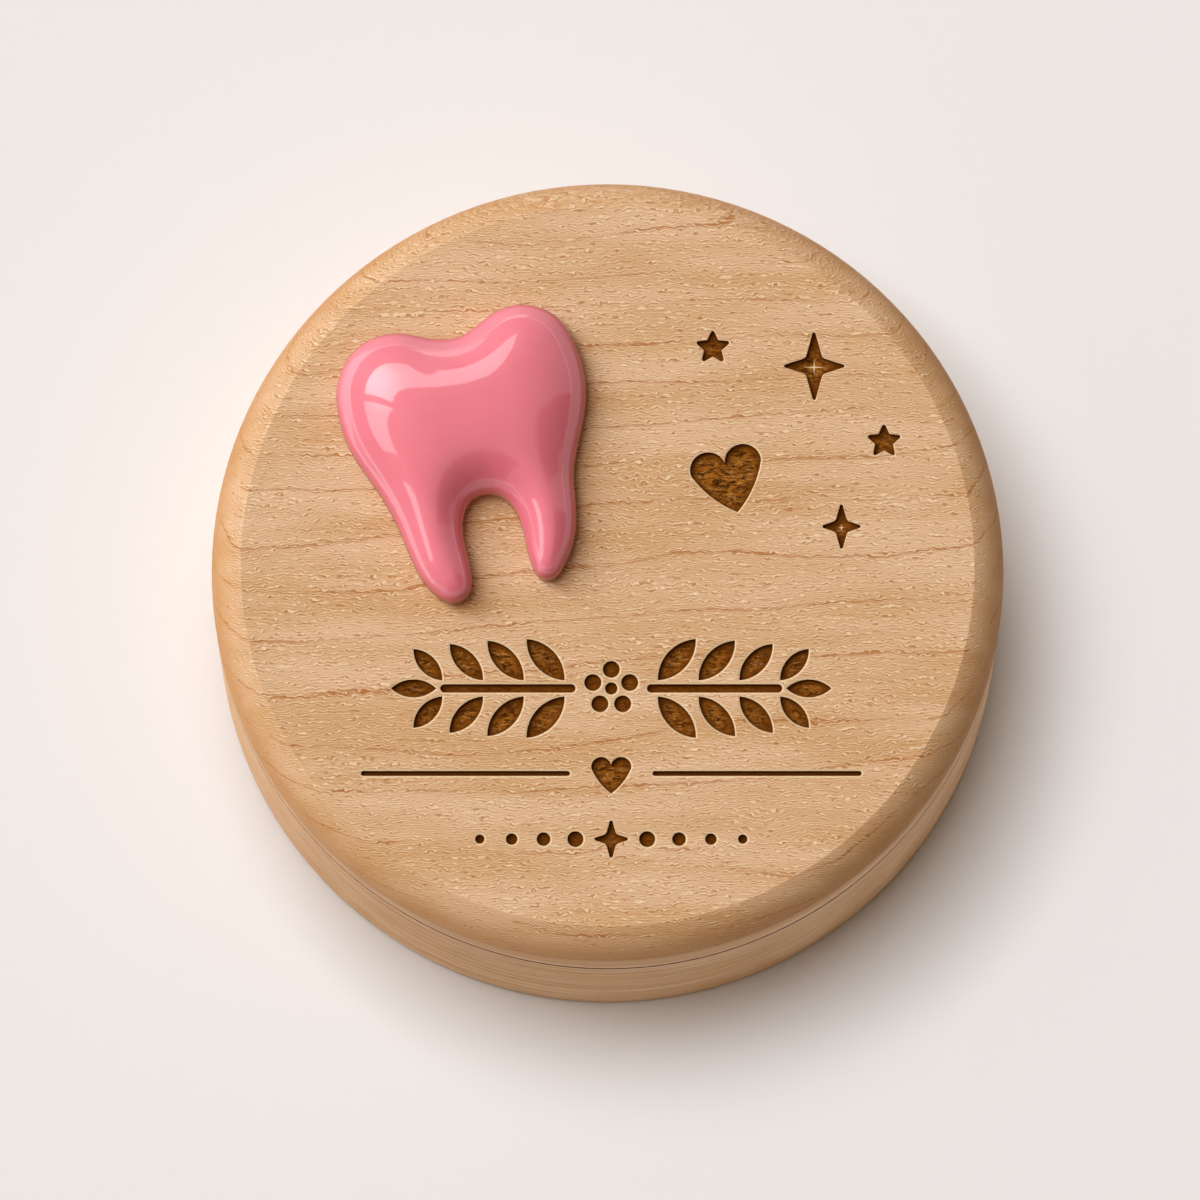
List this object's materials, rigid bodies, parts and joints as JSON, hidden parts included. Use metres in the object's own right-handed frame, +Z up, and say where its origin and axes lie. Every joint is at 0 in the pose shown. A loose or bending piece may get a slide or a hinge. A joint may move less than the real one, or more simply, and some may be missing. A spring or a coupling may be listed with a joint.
{
  "type": "tooth keepsake box",
  "caption": "Round turned wooden keepsake box for milk teeth, with a magnetic lift-off lid, engraved ornament, felt linings and a glossy cast tooth on top.",
  "frame": {"origin": "middle of the underside, on the surface that the box stands on", "axes": "+Z up through the lid, +X to the right and +Y away from someone who looks at the lid's design the right way up"},
  "size_m": [0.08, 0.08, 0.0359],
  "materials": {
    "beech": "sanded and lightly oiled",
    "lining_felt": "soft felt",
    "foot_felt": "dense felt",
    "magnet": "bright nickel plate",
    "cast_resin": "polished, with a clear gloss coat",
    "adhesive": "set clear adhesive"
  },
  "bodies": {
    "base": {"base_cup": "beech", "neck_collar": "beech", "floor_felt": "lining_felt", "foot_felt": "foot_felt", "base_magnet_1": "magnet", "base_magnet_2": "magnet", "base_magnet_3": "magnet", "base_magnet_4": "magnet"},
    "lid": {"lid_panel": "beech", "lid_felt": "lining_felt", "lid_magnet_1": "magnet", "lid_magnet_2": "magnet", "lid_magnet_3": "magnet", "lid_magnet_4": "magnet", "tooth_ornament": "cast_resin", "ornament_adhesive": "adhesive"}
  },
  "joints": [
    {"name": "lid_lift", "type": "slide", "parent": "base", "child": "lid", "axis": [0, 0, 1], "range_m": [0, 0.06]}
  ]
}
